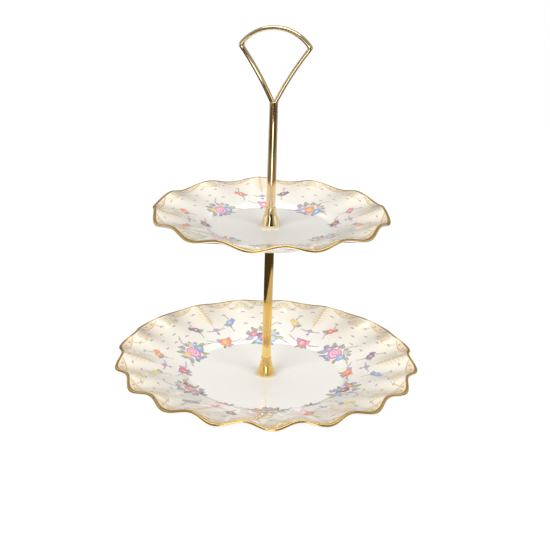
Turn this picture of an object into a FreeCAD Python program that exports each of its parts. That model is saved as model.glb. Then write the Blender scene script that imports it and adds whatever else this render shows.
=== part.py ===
import FreeCAD, Part
import math
import os

# Two-tier cake stand. Millimetres, +Z up, origin on the rod's axis at table level.
# +X runs along the width of the handle's loop.

# ---- driving dimensions ----
LOWER_WELL_Z = 8.5          # table to the lower plate's flat middle
TIER_RISE = 140.7           # flat middle to flat middle
LOOP_TOP_RISE = 309.5       # lower plate's flat middle to the top of the loop

# rim radius, rim height above the flat middle, plan scale, scallop count,
# angle of one scallop, scallop's outward and downward swing, thicknesses, foot depth
LOWER = dict(rim_r=131.3, rim_h=19.5, scale=1.0, lobes=18, lobe_deg=3.75,
             swing_out=2.8, swing_down=1.8, middle_t=3.9, edge_t=2.9)
UPPER = dict(rim_r=100.0, rim_h=14.2, scale=0.762, lobes=12, lobe_deg=2.6,
             swing_out=1.5, swing_down=2.2, middle_t=3.6, edge_t=2.6)
LOWER_FOOT = LOWER_WELL_Z - LOWER["middle_t"]   # recess depth inside the foot ring
UPPER_FOOT = 3.2
HOLE_R = 3.5                # drilled hole in each plate

# section of the lower plate; the upper one has the same section, its radii and rises scaled
WELL_R = 69.5                                # edge of the flat middle
STEP_R, STEP_H = 75.5, 3.7                   # top of the step round the flat middle
FLANGE_R, FLANGE_H = 80.0, 4.9               # where the scalloped flange begins
FLANGE_SHARES = (0.0, 0.12, 0.3, 0.5, 0.7, 0.87, 0.97)   # control rows from there to the rim
FLANGE_EXTRA_T = 0.6                         # what the flange gains in thickness, rim to start
RIM_BULGE = 0.45                             # how far the rounded rim stands out
STEP_ROUND, WELL_ROUND, HOLE_ROUND = 5.0, 4.0, 0.4
RECESS_ROOF_R, RECESS_MOUTH_R = 62.0, 63.0   # recess inside the foot ring
RECESS_ROUND, FOOT_EDGE_ROUND, FOOT_BACK_ROUND = 1.0, 0.7, 2.0
FOOT_W = 3.2                                 # flat face of the foot ring, on both plates
FOOT_SPREAD, FOOT_SPREAD_SHARE = 3.0, 0.6    # its outer side leans out over this share of its depth

# control mesh of the flange skin
POLES_PER_LOBE = 12
DEGREE = 3
SEW_GAP = 1e-3

THREAD_R = 2.45             # M5 thread, drawn as a plain cylinder
THREAD_FIT = 0.05           # radial clearance of a thread in its bush
THREAD_HOLE_R = THREAD_R + THREAD_FIT
LOOSE_HOLE_R = 2.75         # clearance hole in washers and ferrules

SEAT_T = 0.6                # soft washer between a plate and the ferrule on it
UNDER_T = 0.8               # soft washer under a plate
SEAT_R = 7.5
DISC_T, DISC_R = 1.5, 11.0  # metal disc that carries the upper plate
PLATE_WASHER_T, PLATE_WASHER_R = 1.0, 8.0

FERRULE_H, FERRULE_FLOOR = 16.8, 2.0
FERRULE_TOP_R, FERRULE_BASE_R = 4.4, 8.1
FERRULE_SKIRT_H, FERRULE_COLLAR_H = 1.4, 1.0    # upright band at its foot and at its top
FERRULE_FLARE, FERRULE_WAIST_ROUND = 0.1, 6.0
FERRULE_FOOT_ROUND, FERRULE_SKIRT_ROUND, FERRULE_TOP_ROUND = 0.5, 1.5, 0.2
TUBE_R, TUBE_BORE_R = 3.95, 3.1
STEM_TOP_R, STEM_BORE_R = 3.45, 2.6
STEM_TAPER_RISE, STEM_TAPER_ROUND, STEM_TOP_ROUND = 6.0, 30.0, 0.4   # taper starts above the ferrule
SOLDER_GAP = 0.03           # between pieces that are soldered together
BUSH_L = 12.0
STUD_IN_COLUMN = 10.0
STUD_IN_HANDLE = 8.2
SCREW_L = 16.0
SCREW_HEAD_R, SCREW_HEAD_T = 4.75, 1.9
SCREW_HEAD_ROUND, SCREW_SHOULDER_ROUND = 0.7, 0.2
SLOT_W, SLOT_DEPTH = 1.2, 0.9
THREAD_CHAMFER, SPIGOT_CHAMFER = 0.4, 0.3
DISC_ROUND, PLATE_WASHER_ROUND = 0.3, 0.2
JOIN = 0.5                  # how far two shapes of one piece run into each other

LOOP_HALF_W = 31.0          # outside corner, measured from the axis
LOOP_CORNER_DROP = 16.5     # top of the loop down to its corners
LOOP_NECK_DROP = 61.7       # top of the loop down to the top of the stem
LOOP_NECK_HALF_W = 3.3
LOOP_BAND, LOOP_DEPTH = 3.3, 6.0
LOOP_ARM_BOW = 1.3          # how far each arm bends in from a straight line
LOOP_EDGE_ROUND, LOOP_CORNER_ROUND = 1.4, 1.8
SPIGOT_L = 12.0
TINY = 0.01                 # closer than this, two lengths or levels are the same

# ---- levels worked out from them ----
UPPER_WELL_Z = LOWER_WELL_Z + TIER_RISE
UPPER_UNDERSIDE_Z = UPPER_WELL_Z - UPPER["middle_t"]
COLUMN_BASE_Z = LOWER_WELL_Z + SEAT_T
COLUMN_TOP_Z = UPPER_UNDERSIDE_Z - UNDER_T - DISC_T
HANDLE_BASE_Z = UPPER_WELL_Z + SEAT_T
LOOP_TOP_Z = LOWER_WELL_Z + LOOP_TOP_RISE
STEM_TOP_Z = LOOP_TOP_Z - LOOP_NECK_DROP


def vec(x, z, y=0.0):
    return FreeCAD.Vector(x, y, z)


def rounded_edges(points, closed):
    """Straight edges through (radius, height, corner rounding) points, with rounded corners."""
    count = len(points)
    starts, ends, arcs = [None] * count, [None] * count, []
    for i, (r, z, rounding) in enumerate(points):
        here = vec(r, z)
        starts[i] = ends[i] = here
        if rounding == 0 or (not closed and i in (0, count - 1)):
            continue
        before = vec(*points[i - 1][:2]) - here
        after = vec(*points[(i + 1) % count][:2]) - here
        half = before.getAngle(after) / 2
        before.normalize()
        after.normalize()
        reach = rounding / math.tan(half)
        middle = before + after
        middle.normalize()
        centre_gap = rounding / math.sin(half)
        starts[i] = here + before * reach
        ends[i] = here + after * reach
        arcs.append(Part.Arc(starts[i], here + middle * (centre_gap - rounding), ends[i]).toShape())
    edges = []
    for i in range(count if closed else count - 1):
        head = starts[(i + 1) % count]
        if not ends[i].isEqual(head, 1e-6):
            edges.append(Part.makeLine(ends[i], head))
    return edges + arcs


def wire_of(edges):
    return Part.Wire(Part.__sortEdges__(edges))


def turned(points):
    """Solid of revolution about the axis, from a closed outline of (radius, height, rounding)."""
    face = Part.Face(wire_of(rounded_edges(points, closed=True)))
    return face.revolve(vec(0, 0), FreeCAD.Vector(0, 0, 1), 360)


def ring(inner_r, outer_r, low_z, high_z, rounding=0.0, bore_rounding=0.0):
    return turned([(inner_r, low_z, bore_rounding), (outer_r, low_z, rounding),
                   (outer_r, high_z, rounding), (inner_r, high_z, bore_rounding)])


def rod(radius, low_z, high_z, chamfer):
    return turned([(0, low_z, 0), (radius - chamfer, low_z, 0), (radius, low_z + chamfer, 0),
                   (radius, high_z - chamfer, 0), (radius - chamfer, high_z, 0), (0, high_z, 0)])


# ---- plates ----
def flange_rows(plate, well_z):
    """Control rows of the scalloped flange, as (radius, height, share of the full scallop)."""
    scale, rim_r, rim_z = plate["scale"], plate["rim_r"], well_z + plate["rim_h"]
    start_r, start_z = FLANGE_R * scale, well_z + FLANGE_H * scale
    slope = math.atan2(rim_z - start_z, rim_r - start_r)
    top, under = [], []
    for share in FLANGE_SHARES:
        r = start_r + share * (rim_r - start_r)
        z = start_z + share * (rim_z - start_z)
        scallop = share ** 2
        thick = plate["edge_t"] + FLANGE_EXTRA_T * (1 - share)
        top.append((r, z, scallop))
        under.append((r + thick * math.sin(slope), z - thick * math.cos(slope), scallop))
    under[0] = (start_r, under[0][1], 0.0)
    edge_x, edge_z = plate["edge_t"] / 2 * math.sin(slope), plate["edge_t"] / 2 * math.cos(slope)
    rim = [(rim_r, rim_z, 1.0), (rim_r + RIM_BULGE + edge_x, rim_z - edge_z, 1.0),
           (rim_r + 2 * edge_x, rim_z - 2 * edge_z, 1.0)]
    return top + rim + under[::-1]


def flange_face(plate, rows):
    """One closed skin from the flange's inner top edge, round the rim, to its inner underside."""
    lobes = plate["lobes"]
    count = POLES_PER_LOBE * lobes
    step = 2 * math.pi / count
    # a cubic spline runs inside its control points, so both sizes are divided by what it loses
    ring_loss = (2 + math.cos(step)) / 3
    wave_loss = (2 + math.cos(lobes * step)) / 3
    poles = []
    for i in range(count):
        angle = (i - 1) * step
        swing = math.cos(lobes * (angle - math.radians(plate["lobe_deg"]))) / wave_loss
        line = []
        for r, z, scallop in rows:
            reach = r / ring_loss + plate["swing_out"] * scallop * swing
            line.append(FreeCAD.Vector(reach * math.cos(angle), reach * math.sin(angle),
                                       z - plate["swing_down"] * scallop * swing))
        poles.append(line)
    spans = len(rows) - DEGREE
    surface = Part.BSplineSurface()
    clamped = [DEGREE + 1] + [1] * (spans - 1) + [DEGREE + 1]
    surface.buildFromPolesMultsKnots(poles, [1] * (count + 1), clamped,
                                     list(range(count + 1)), list(range(spans + 1)),
                                     True, False, DEGREE, DEGREE)
    return surface.toShape()


def china_plate(plate, well_z, foot_depth):
    """Plate with a flat middle, a drilled hole, a foot ring and a scalloped rising flange."""
    scale = plate["scale"]
    under_z = well_z - plate["middle_t"]
    foot_z = under_z - foot_depth
    rows = flange_rows(plate, well_z)
    foot_back_r = (RECESS_MOUTH_R + FOOT_SPREAD) * scale + FOOT_W
    outline = [(rows[0][0], rows[0][1], 0),
               (STEP_R * scale, well_z + STEP_H * scale, STEP_ROUND),
               (WELL_R * scale, well_z, WELL_ROUND),
               (HOLE_R, well_z, HOLE_ROUND),
               (HOLE_R, under_z, HOLE_ROUND),
               (RECESS_ROOF_R * scale, under_z, RECESS_ROUND),
               (RECESS_MOUTH_R * scale, foot_z, FOOT_EDGE_ROUND),
               (RECESS_MOUTH_R * scale + FOOT_W, foot_z, FOOT_EDGE_ROUND),
               (foot_back_r, foot_z + FOOT_SPREAD_SHARE * foot_depth, FOOT_BACK_ROUND),
               (rows[-1][0], rows[-1][1], 0)]
    middle = wire_of(rounded_edges(outline, closed=False))
    skin = Part.makeCompound(middle.revolve(vec(0, 0), FreeCAD.Vector(0, 0, 1), 360).Faces
                             + [flange_face(plate, rows)])
    skin.sewShape(SEW_GAP)
    solid = Part.Solid(skin.Shells[0])
    if solid.Volume < 0:
        solid.reverse()
    return solid


# ---- turned metal and soft pieces ----
def ferrule(base_z):
    """Hollow cone that spreads a tube's foot over the plate."""
    top_z = base_z + FERRULE_H
    outside = [(FERRULE_BASE_R, base_z, FERRULE_FOOT_ROUND),
               (FERRULE_BASE_R, base_z + FERRULE_SKIRT_H, FERRULE_SKIRT_ROUND),
               (FERRULE_TOP_R + FERRULE_FLARE, top_z - FERRULE_COLLAR_H, FERRULE_WAIST_ROUND),
               (FERRULE_TOP_R, top_z, FERRULE_TOP_ROUND)]
    bore = [(TUBE_R + SOLDER_GAP, top_z, 0),
            (TUBE_R + SOLDER_GAP, base_z + FERRULE_FLOOR, 0),
            (LOOSE_HOLE_R, base_z + FERRULE_FLOOR, 0),
            (LOOSE_HOLE_R, base_z, 0)]
    return turned(outside + bore)


def threaded_bush(low_z):
    return ring(THREAD_HOLE_R, TUBE_BORE_R - SOLDER_GAP, low_z, low_z + BUSH_L)


def slotted_screw(under_head_z):
    head_z = under_head_z - SCREW_HEAD_T
    head = turned([(0, head_z, 0), (SCREW_HEAD_R, head_z, SCREW_HEAD_ROUND),
                   (SCREW_HEAD_R, under_head_z, SCREW_SHOULDER_ROUND), (0, under_head_z, 0)])
    shank = rod(THREAD_R, under_head_z - JOIN, under_head_z + SCREW_L, THREAD_CHAMFER)
    slot_half_l = SCREW_HEAD_R + JOIN
    slot = Part.makeBox(2 * slot_half_l, SLOT_W, SLOT_DEPTH + JOIN,
                        vec(-slot_half_l, head_z - JOIN, -SLOT_W / 2))
    return head.fuse(shank).cut(slot).removeSplitter()


def tapered_stem():
    low_z = HANDLE_BASE_Z + FERRULE_FLOOR
    bush_top = low_z + BUSH_L
    return turned([(TUBE_BORE_R, low_z, 0), (TUBE_R, low_z, 0),
                   (TUBE_R, HANDLE_BASE_Z + FERRULE_H + STEM_TAPER_RISE, STEM_TAPER_ROUND),
                   (STEM_TOP_R, STEM_TOP_Z, STEM_TOP_ROUND),
                   (STEM_BORE_R, STEM_TOP_Z, 0), (STEM_BORE_R, bush_top, 0),
                   (TUBE_BORE_R, bush_top, 0)])


# ---- handle loop ----
def fan_wire(inset):
    """Fan outline in the XZ plane: an arc on top and two arms that meet at the neck."""
    corner_z = LOOP_TOP_Z - LOOP_CORNER_DROP
    arc_r = (LOOP_HALF_W ** 2 + LOOP_CORNER_DROP ** 2) / (2 * LOOP_CORNER_DROP)
    arc_z = LOOP_TOP_Z - arc_r
    corner, neck = vec(LOOP_HALF_W, corner_z), vec(LOOP_NECK_HALF_W, STEM_TOP_Z)
    chord = corner - neck
    arm_r = (chord.Length ** 2 / 4 + LOOP_ARM_BOW ** 2) / (2 * LOOP_ARM_BOW)
    outward = FreeCAD.Vector(chord.z, 0, -chord.x).normalize()
    arm_centre = (corner + neck) / 2 + outward * (arm_r - LOOP_ARM_BOW)
    top_r, side_r = arc_r - inset, arm_r + inset
    # where the top arc meets an arm
    gap = math.hypot(arm_centre.x, arm_centre.z - arc_z)
    along = (gap ** 2 + top_r ** 2 - side_r ** 2) / (2 * gap)
    across = math.sqrt(top_r ** 2 - along ** 2)
    toward = (arm_centre - vec(0, arc_z)) / gap
    meet = vec(0, arc_z) + toward * along + FreeCAD.Vector(-toward.z, 0, toward.x) * across
    # the arm's lower end: at the neck outside, on the axis inside
    end_x = 0 if inset else LOOP_NECK_HALF_W
    end = vec(end_x, arm_centre.z + math.sqrt(side_r ** 2 - (arm_centre.x - end_x) ** 2))
    half = (meet + end) / 2 - arm_centre
    arm_middle = arm_centre + half / half.Length * side_r

    def mirror(p):
        return vec(-p.x, p.z)
    edges = [Part.Arc(mirror(meet), vec(0, arc_z + top_r), meet).toShape(),
             Part.Arc(meet, arm_middle, end).toShape(),
             Part.Arc(mirror(end), mirror(arm_middle), mirror(meet)).toShape()]
    if not inset:
        edges.append(Part.makeLine(end, mirror(end)))
    return wire_of(edges)


def fan_loop():
    face = Part.Face(fan_wire(0)).cut(Part.Face(fan_wire(LOOP_BAND)))
    band = face.extrude(FreeCAD.Vector(0, LOOP_DEPTH, 0))
    band.translate(FreeCAD.Vector(0, -LOOP_DEPTH / 2, 0))
    band = Part.Solid(band.Shells[0])

    def above_neck(edge):
        return edge.BoundBox.ZMax > STEM_TOP_Z + TINY
    corners = [e for e in band.Edges if e.BoundBox.YLength > LOOP_DEPTH - TINY and above_neck(e)]
    band = band.makeFillet(LOOP_CORNER_ROUND, corners)
    rims = [e for e in band.Edges if e.BoundBox.YLength < TINY and above_neck(e)]
    band = band.makeFillet(LOOP_EDGE_ROUND, rims)
    spigot = rod(STEM_BORE_R - SOLDER_GAP, STEM_TOP_Z - SPIGOT_L, STEM_TOP_Z + JOIN, SPIGOT_CHAMFER)
    return band.fuse(spigot).removeSplitter()


# ---- every piece, by node name ----
base_washer_z = LOWER_FOOT - UNDER_T
pieces = {
    "lower_plate": china_plate(LOWER, LOWER_WELL_Z, LOWER_FOOT),
    "lower_seat_washer": ring(LOOSE_HOLE_R, SEAT_R, LOWER_WELL_Z, COLUMN_BASE_Z),
    "lower_ferrule": ferrule(COLUMN_BASE_Z),
    "lower_threaded_bush": threaded_bush(COLUMN_BASE_Z + FERRULE_FLOOR),
    "spacer_tube": ring(TUBE_BORE_R, TUBE_R, COLUMN_BASE_Z + FERRULE_FLOOR, COLUMN_TOP_Z),
    "upper_threaded_bush": threaded_bush(COLUMN_TOP_Z - BUSH_L),
    "spacer_stud": rod(THREAD_R, COLUMN_TOP_Z - STUD_IN_COLUMN,
                       HANDLE_BASE_Z + FERRULE_FLOOR + STUD_IN_HANDLE, THREAD_CHAMFER),
    "upper_support_disc": ring(THREAD_HOLE_R, DISC_R, COLUMN_TOP_Z, COLUMN_TOP_Z + DISC_T, DISC_ROUND),
    "base_soft_washer": ring(LOOSE_HOLE_R, SEAT_R, base_washer_z, LOWER_FOOT),
    "base_metal_washer": ring(LOOSE_HOLE_R, PLATE_WASHER_R, base_washer_z - PLATE_WASHER_T,
                              base_washer_z, PLATE_WASHER_ROUND),
    "base_screw": slotted_screw(base_washer_z - PLATE_WASHER_T),
    "upper_under_washer": ring(LOOSE_HOLE_R, SEAT_R, UPPER_UNDERSIDE_Z - UNDER_T, UPPER_UNDERSIDE_Z),
    "upper_plate": china_plate(UPPER, UPPER_WELL_Z, UPPER_FOOT),
    "upper_seat_washer": ring(LOOSE_HOLE_R, SEAT_R, UPPER_WELL_Z, HANDLE_BASE_Z),
    "handle_ferrule": ferrule(HANDLE_BASE_Z),
    "handle_threaded_bush": threaded_bush(HANDLE_BASE_Z + FERRULE_FLOOR),
    "handle_stem": tapered_stem(),
    "handle_loop": fan_loop(),
}

os.makedirs("parts", exist_ok=True)
for node, shape in pieces.items():
    shape.exportStep("parts/" + node + ".step")
    print(node, "valid", shape.isValid(), "solids", len(shape.Solids),
          "volume", round(shape.Volume, 1), "box", shape.BoundBox)
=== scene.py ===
import math
import random

import bpy
import numpy as np
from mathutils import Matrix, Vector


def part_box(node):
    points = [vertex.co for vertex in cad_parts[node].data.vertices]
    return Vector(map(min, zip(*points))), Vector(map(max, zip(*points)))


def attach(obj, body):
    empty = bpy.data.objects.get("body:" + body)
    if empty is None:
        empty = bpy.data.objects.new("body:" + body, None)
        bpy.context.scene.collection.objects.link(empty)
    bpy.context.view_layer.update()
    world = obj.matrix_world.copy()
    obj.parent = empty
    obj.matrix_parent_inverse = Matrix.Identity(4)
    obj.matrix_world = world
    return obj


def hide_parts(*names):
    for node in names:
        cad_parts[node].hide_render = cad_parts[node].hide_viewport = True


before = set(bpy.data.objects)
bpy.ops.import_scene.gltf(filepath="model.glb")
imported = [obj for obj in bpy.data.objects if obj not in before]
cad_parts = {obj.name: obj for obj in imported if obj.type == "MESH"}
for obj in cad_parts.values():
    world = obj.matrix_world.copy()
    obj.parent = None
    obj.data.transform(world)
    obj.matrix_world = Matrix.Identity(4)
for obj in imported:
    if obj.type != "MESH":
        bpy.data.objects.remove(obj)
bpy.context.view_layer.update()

MM = 0.001

# ---- the plates' shape, in millimetres, as in the CAD model ----
LOWER = dict(name="lower", body="lower_tier", rim_r=131.3, rim_h=19.5, scale=1.0, lobes=18,
             lobe_deg=3.75, swing_out=2.8, swing_down=1.8, middle_t=3.9, edge_t=2.9,
             well_z=8.5, foot=4.6)
UPPER = dict(name="upper", body="upper_tier", rim_r=100.0, rim_h=14.2, scale=0.762, lobes=12,
             lobe_deg=2.6, swing_out=1.5, swing_down=2.2, middle_t=3.6, edge_t=2.6,
             well_z=149.2, foot=3.2)
HOLE_R = 3.5
LOBES_PER_SECTOR = 3
# sizes of the lower plate, which the upper one has times its scale
FLANGE_R, FLANGE_RISE = 80, 4.9
STEP_R, STEP_RISE, WELL_R = 75.5, 3.7, 69.5
FOOT_R, FOOT_W = 63, 3.2
# the moulded relief, and how far in from the rim its middle lies
SHELL_RISE, SHELL_INSET, SHELL_LENGTH, SHELL_WIDTH = 0.75, 9.5, 5.2, 6.5
RIB_RISE, RIB_INSET, RIB_LENGTH, RIB_WIDTH = 0.3, 15.5, 12.5, 2.6
PANEL_DEPTH = 9.5       # how far an ivory panel reaches in from the rim, at a scallop's middle


# ======== small geometry helpers ========
def polar(radius, angle):
    return radius * math.cos(angle), radius * math.sin(angle)


def rounded_profile(points, step_deg=12):
    """(radius, height) samples along an outline of (radius, height, corner rounding) points."""
    out = []
    for i, (r, z, rounding) in enumerate(points):
        here = np.array((r, z), float)
        if rounding == 0 or i in (0, len(points) - 1):
            out.append(here)
            continue
        before = np.array(points[i - 1][:2]) - here
        after = np.array(points[i + 1][:2]) - here
        before /= np.linalg.norm(before)
        after /= np.linalg.norm(after)
        half = math.acos(np.clip(before @ after, -1, 1)) / 2
        middle = (before + after) / np.linalg.norm(before + after)
        centre = here + middle * rounding / math.sin(half)
        start = here + before * rounding / math.tan(half) - centre
        end = here + after * rounding / math.tan(half) - centre
        turn = math.atan2(start[0] * end[1] - start[1] * end[0], start @ end)
        count = max(2, math.ceil(abs(math.degrees(turn)) / step_deg))
        for k in range(count + 1):
            a = turn * k / count
            out.append(centre + (start[0] * math.cos(a) - start[1] * math.sin(a),
                                 start[0] * math.sin(a) + start[1] * math.cos(a)))
    return out


def clamped_spline(rows, per_span):
    """Points on a clamped uniform cubic B-spline with the given control rows."""
    rows = np.array(rows, float)
    spans = len(rows) - 3
    knots = np.r_[[0] * 3, np.arange(spans + 1), [spans] * 3].astype(float)
    out = []
    for t in np.linspace(0, spans, spans * per_span + 1):
        k = min(int(t), spans - 1) + 3
        d = [rows[k - 3 + j].copy() for j in range(4)]
        for level in range(1, 4):
            for j in range(3, level - 1, -1):
                low, high = knots[k - 3 + j], knots[k + 1 + j - level]
                share = (t - low) / (high - low)
                d[j] = (1 - share) * d[j - 1] + share * d[j]
        out.append(d[3])
    return np.array(out)


def new_object(name, verts, faces, material, smooth=True):
    mesh = bpy.data.meshes.new(name)
    mesh.from_pydata([tuple(v) for v in verts], [], faces)
    mesh.validate()
    mesh.update()
    if smooth:
        mesh.shade_smooth()
    obj = bpy.data.objects.new(name, mesh)
    bpy.context.scene.collection.objects.link(obj)
    mesh.materials.append(material)
    return obj


def ring_faces(rings, count, closed_rows=False):
    """Quads between rings of count vertices each."""
    faces = []
    for j in range(rings if closed_rows else rings - 1):
        a, b = j * count, ((j + 1) % rings) * count
        faces += [(a + i, a + (i + 1) % count, b + (i + 1) % count, b + i) for i in range(count)]
    return faces


def sharpen(obj, angle_deg):
    obj.data.set_sharp_from_angle(angle=math.radians(angle_deg))


def lathe(name, points, material, body, cad_node):
    """A turned piece from a closed outline of (radius, height, corner rounding)."""
    count = 128
    loop = list(points) + [points[0]]
    rings = rounded_profile(loop)[:-1]
    angles = np.linspace(0, 2 * math.pi, count, endpoint=False)
    verts = [(r * math.cos(a) * MM, r * math.sin(a) * MM, z * MM) for r, z in rings for a in angles]
    obj = new_object(name, verts, ring_faces(len(rings), count, closed_rows=True), material)
    sharpen(obj, 35)
    placed(obj, body, cad_node)


def placed(obj, body, cad_node):
    """Rides a piece on its body, in place of a CAD node if it stands for one."""
    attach(obj, body)
    if cad_node:
        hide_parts(cad_node)


# ======== plate surfaces ========
def flange_rows(plate):
    """Control rows (radius, height, share of the full scallop) round the scalloped flange."""
    scale, rim_r, rim_z = plate["scale"], plate["rim_r"], plate["well_z"] + plate["rim_h"]
    start_r, start_z = FLANGE_R * scale, plate["well_z"] + FLANGE_RISE * scale
    slope = math.atan2(rim_z - start_z, rim_r - start_r)
    top, under = [], []
    for share in (0.0, 0.12, 0.3, 0.5, 0.7, 0.87, 0.97):
        r = start_r + share * (rim_r - start_r)
        z = start_z + share * (rim_z - start_z)
        thick = plate["edge_t"] + 0.6 * (1 - share)
        top.append((r, z, share ** 2))
        under.append((r + thick * math.sin(slope), z - thick * math.cos(slope), share ** 2))
    under[0] = (start_r, under[0][1], 0.0)
    edge_x, edge_z = plate["edge_t"] / 2 * math.sin(slope), plate["edge_t"] / 2 * math.cos(slope)
    rim = [(rim_r, rim_z, 1.0), (rim_r + 0.45 + edge_x, rim_z - edge_z, 1.0),
           (rim_r + 2 * edge_x, rim_z - 2 * edge_z, 1.0)]
    return top + rim + under[::-1]


def plate_section(plate):
    """The closed section in two runs of (radius, height, scallop share): the flange, the middle."""
    scale, well_z, foot_depth = plate["scale"], plate["well_z"], plate["foot"]
    under_z = well_z - plate["middle_t"]
    foot_z = under_z - foot_depth
    rows = flange_rows(plate)
    outline = [(rows[0][0], rows[0][1], 0), (STEP_R * scale, well_z + STEP_RISE * scale, 5),
               (WELL_R * scale, well_z, 4), (HOLE_R, well_z, 0.4), (HOLE_R, under_z, 0.4),
               ((FOOT_R - 1) * scale, under_z, 1.0), (FOOT_R * scale, foot_z, 0.7),
               (FOOT_R * scale + FOOT_W, foot_z, 0.7),
               ((FOOT_R + 3) * scale + FOOT_W, foot_z + 0.6 * foot_depth, 2.0),
               (rows[-1][0], rows[-1][1], 0)]
    middle = [(r, z, 0.0) for r, z in rounded_profile(outline)]
    flange = [tuple(p) for p in clamped_spline(rows, 6)]
    return flange, middle


def scallop(plate, angle):
    """The scallops' wave: 1 at the middle of a scallop, -1 at a notch."""
    return np.cos(plate["lobes"] * (angle - math.radians(plate["lobe_deg"])))


def embossed(plate, radius, angle):
    """Height of the moulded shells and feather ribs that stand on the flange at the notches."""
    scale, lobe = plate["scale"], 2 * math.pi / plate["lobes"]
    notch = (np.asarray(angle) - math.radians(plate["lobe_deg"])) / lobe - 0.5
    nearest = np.round(notch)
    across = (notch - nearest) * lobe * radius
    inset = plate["rim_r"] - plate["swing_out"] - radius
    feather = np.mod(nearest, LOBES_PER_SECTOR) < 0.5
    shell = SHELL_RISE * np.exp(-(((inset - SHELL_INSET * scale) / (SHELL_LENGTH * scale)) ** 4)
                                - (across / (SHELL_WIDTH * scale)) ** 4)
    rib = RIB_RISE * np.exp(-(((inset - RIB_INSET * scale) / (RIB_LENGTH * scale)) ** 6)
                            - (across / (RIB_WIDTH * scale)) ** 2)
    return np.where(feather, rib, shell) * scale


def on_ring(plate, row, angles, is_top):
    """One row of the section carried round the plate, in millimetres."""
    r, z, share = row
    wave = scallop(plate, angles) * share
    radius = r + plate["swing_out"] * wave
    height = z - plate["swing_down"] * wave
    if is_top:
        height = height + embossed(plate, radius, angles)
    return np.stack([radius * np.cos(angles), radius * np.sin(angles), height], 1)


class Top:
    """The plate's upper surface as a height over any plan point, in millimetres."""

    def __init__(self, plate):
        flange, middle = plate_section(plate)
        crest = max(range(len(flange)), key=lambda i: flange[i][0] + flange[i][2])
        highest = max(range(crest + 1), key=lambda i: flange[i][1])
        hole = next(i for i, m in enumerate(middle) if m[0] < HOLE_R + 0.5)
        self.rows = np.array(middle[:hole][::-1] + flange[1:highest + 1])
        self.plate = plate

    def height(self, x, y):
        plate, angle = self.plate, math.atan2(y, x)
        wave = float(scallop(plate, angle))
        radius = self.rows[:, 0] + plate["swing_out"] * self.rows[:, 2] * wave
        height = self.rows[:, 1] - plate["swing_down"] * self.rows[:, 2] * wave
        at = math.hypot(x, y)
        return float(np.interp(at, radius, height)) + float(embossed(plate, at, angle))

    def rim(self, angle):
        return self.plate["rim_r"] + self.plate["swing_out"] * float(scallop(self.plate, angle))


# ======== materials ========
def shader(name, **values):
    """A Principled material whose constant values sit on the shader's own sockets."""
    material = bpy.data.materials.new(name)
    material.use_nodes = True
    bsdf = material.node_tree.nodes["Principled BSDF"]
    for socket, value in values.items():
        bsdf.inputs[socket.replace("_", " ")].default_value = value
    return material, material.node_tree, bsdf


def patterned(name, **values):
    """A shader with the object's own coordinates, which its patterns are laid out in."""
    material, tree, bsdf = shader(name, **values)
    return material, tree, bsdf, node(tree, "ShaderNodeTexCoord").outputs["Object"]


def surface(tree, bsdf, colour, rough):
    tree.links.new(colour, bsdf.inputs["Base Color"])
    tree.links.new(rough, bsdf.inputs["Roughness"])


def node(tree, kind, links=None, **settings):
    """A node with its settings; each link is a socket to join or a value to set."""
    made = tree.nodes.new(kind)
    for key, value in settings.items():
        setattr(made, key, value)
    for socket, value in (links or {}).items():
        if isinstance(value, bpy.types.NodeSocket):
            tree.links.new(value, made.inputs[socket])
        else:
            made.inputs[socket].default_value = value
    return made


def math_node(tree, operation, *values, clamp=False):
    return node(tree, "ShaderNodeMath", dict(enumerate(values)), operation=operation,
                use_clamp=clamp).outputs[0]


def noise(tree, vector, scale, detail=3.0, rough=0.5):
    return node(tree, "ShaderNodeTexNoise", {"Vector": vector, "Scale": scale, "Detail": detail,
                                             "Roughness": rough}).outputs["Fac"]


def colour_mix(tree, share, a, b):
    return node(tree, "ShaderNodeMix", {0: share, 6: a, 7: b}, data_type="RGBA").outputs[2]


def spread(tree, value, low, high):
    """value from 0..1 moved to low..high."""
    return math_node(tree, "MULTIPLY_ADD", value, high - low, low)


def bumped(tree, bsdf, height, strength, distance):
    bump = node(tree, "ShaderNodeBump",
                {"Height": height, "Strength": strength, "Distance": distance})
    tree.links.new(bump.outputs[0], bsdf.inputs["Normal"])


# the flange's tan colour is partly the china's ivory and partly painted warm shade
WELL_WHITE, FLANGE_IVORY_AND_SHADE = (0.90, 0.90, 0.885, 1), (0.885, 0.815, 0.69, 1)
MOTTLED, PANEL_IVORY = (0.86, 0.84, 0.79, 1), (0.80, 0.66, 0.49, 1)
IVORY_AND_SHADE_R, IVORY_AND_SHADE_REACH = 70, 55   # the white well turns to ivory with painted warm shade from this radius, over this distance
PANEL_FADE = 0.0008             # width in metres of a panel's soft edge


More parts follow.
